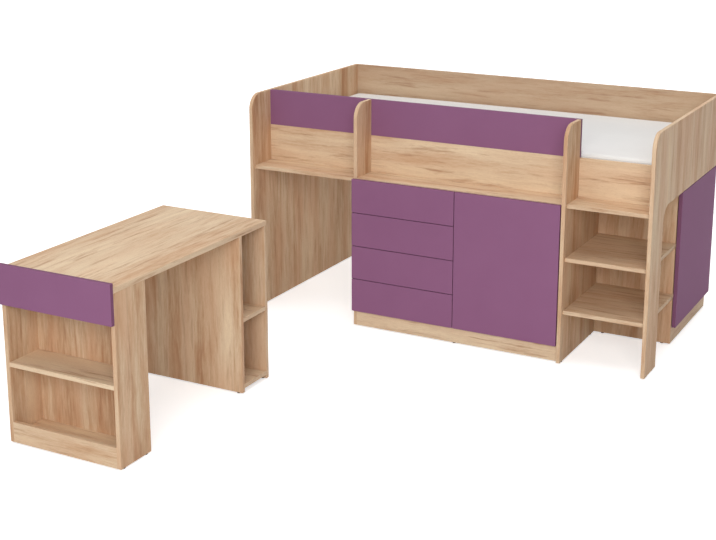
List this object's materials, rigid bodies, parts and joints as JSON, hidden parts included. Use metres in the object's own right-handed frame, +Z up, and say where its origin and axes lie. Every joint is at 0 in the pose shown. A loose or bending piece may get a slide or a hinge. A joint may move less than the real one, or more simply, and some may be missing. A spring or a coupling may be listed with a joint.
{
  "type": "loft bed",
  "caption": "Child's half-height loft bed with guard board, drawer and door cabinet, step ladder, end cabinet and a pull-out desk that stores under the bed.",
  "frame": {"origin": "on the floor, under the middle of the box round the bed and the pulled-out desk", "axes": "+X along the bed to the ladder end, +Y from the desk to the back of the bed, +Z up"},
  "size_m": [2.04, 2.942, 1.105],
  "materials": {
    "oak_board": "light oak decor laminate with grain along each board",
    "purple_board": "matt purple laminate",
    "drawer_white": "white melamine board",
    "back_board": "thin hardboard with oak print",
    "pine": "planed pine",
    "mattress_cloth": "white knitted cover",
    "glide_plastic": "dark matt plastic",
    "hinge_steel": "nickel-plated steel",
    "runner_steel": "white coated steel"
  },
  "bodies": {
    "bed_frame": {"left_end_panel": "oak_board", "right_end_panel": "oak_board", "back_rail": "oak_board", "front_rail": "oak_board", "desk_bay_ledge": "oak_board", "drawer_side_panel": "oak_board", "ladder_panel": "oak_board", "middle_partition": "oak_board", "cabinet_top": "oak_board", "cabinet_bottom": "oak_board", "cabinet_plinth": "oak_board", "cabinet_shelf": "oak_board", "ladder_steps": "oak_board", "end_cabinet_front_panel": "oak_board", "end_cabinet_rear_panel": "oak_board", "end_cabinet_inner_panel": "oak_board", "end_cabinet_top": "oak_board", "end_cabinet_bottom": "oak_board", "end_cabinet_plinth": "oak_board", "end_cabinet_shelf": "oak_board", "front_guard": "purple_board", "cabinet_back": "back_board", "slat_bearers": "pine", "bed_slats": "pine", "mattress": "mattress_cloth", "frame_glides": "glide_plastic", "shelf_pins": "hinge_steel", "cabinet_hinge_arms": "hinge_steel", "end_hinge_arms": "hinge_steel", "cabinet_runners": "runner_steel"},
    "drawer_1": {"drawer_1_front": "purple_board", "drawer_1_box": "drawer_white", "drawer_1_runners": "runner_steel"},
    "drawer_2": {"drawer_2_front": "purple_board", "drawer_2_box": "drawer_white", "drawer_2_runners": "runner_steel"},
    "drawer_3": {"drawer_3_front": "purple_board", "drawer_3_box": "drawer_white", "drawer_3_runners": "runner_steel"},
    "drawer_4": {"drawer_4_front": "purple_board", "drawer_4_box": "drawer_white", "drawer_4_runners": "runner_steel"},
    "cabinet_door": {"cabinet_door": "purple_board", "cabinet_hinge_cups": "hinge_steel", "cabinet_hinge_pins": "hinge_steel"},
    "end_door": {"end_door": "purple_board", "end_hinge_cups": "hinge_steel", "end_hinge_pins": "hinge_steel"},
    "desk": {"desk_top": "oak_board", "desk_front_sides": "oak_board", "desk_front_shelves": "oak_board", "desk_front_back": "oak_board", "desk_plinth": "oak_board", "desk_rear_panels": "oak_board", "desk_rear_shelves": "oak_board", "desk_rear_side": "oak_board", "desk_stretcher": "oak_board", "desk_fascia": "purple_board", "desk_glides": "glide_plastic"}
  },
  "joints": [
    {"name": "drawer_1_slide", "type": "slide", "parent": "bed_frame", "child": "drawer_1", "axis": [0, -1, 0], "range_m": [0, 0.3]},
    {"name": "drawer_2_slide", "type": "slide", "parent": "bed_frame", "child": "drawer_2", "axis": [0, -1, 0], "range_m": [0, 0.3]},
    {"name": "drawer_3_slide", "type": "slide", "parent": "bed_frame", "child": "drawer_3", "axis": [0, -1, 0], "range_m": [0, 0.3]},
    {"name": "drawer_4_slide", "type": "slide", "parent": "bed_frame", "child": "drawer_4", "axis": [0, -1, 0], "range_m": [0, 0.3]},
    {"name": "cabinet_door_hinge", "type": "hinge", "parent": "bed_frame", "child": "cabinet_door", "pos_m": [0.5945, 0.367, 0.4135], "axis": [0, 0, 1], "range_deg": [0, 95]},
    {"name": "end_door_hinge", "type": "hinge", "parent": "bed_frame", "child": "end_door", "pos_m": [1.012, 1.4575, 0.4165], "axis": [0, 0, 1], "range_deg": [0, 95]},
    {"name": "desk_slide", "type": "slide", "parent": "bed_frame", "child": "desk", "axis": [0, 1, 0], "range_m": [0, 1.83]}
  ]
}
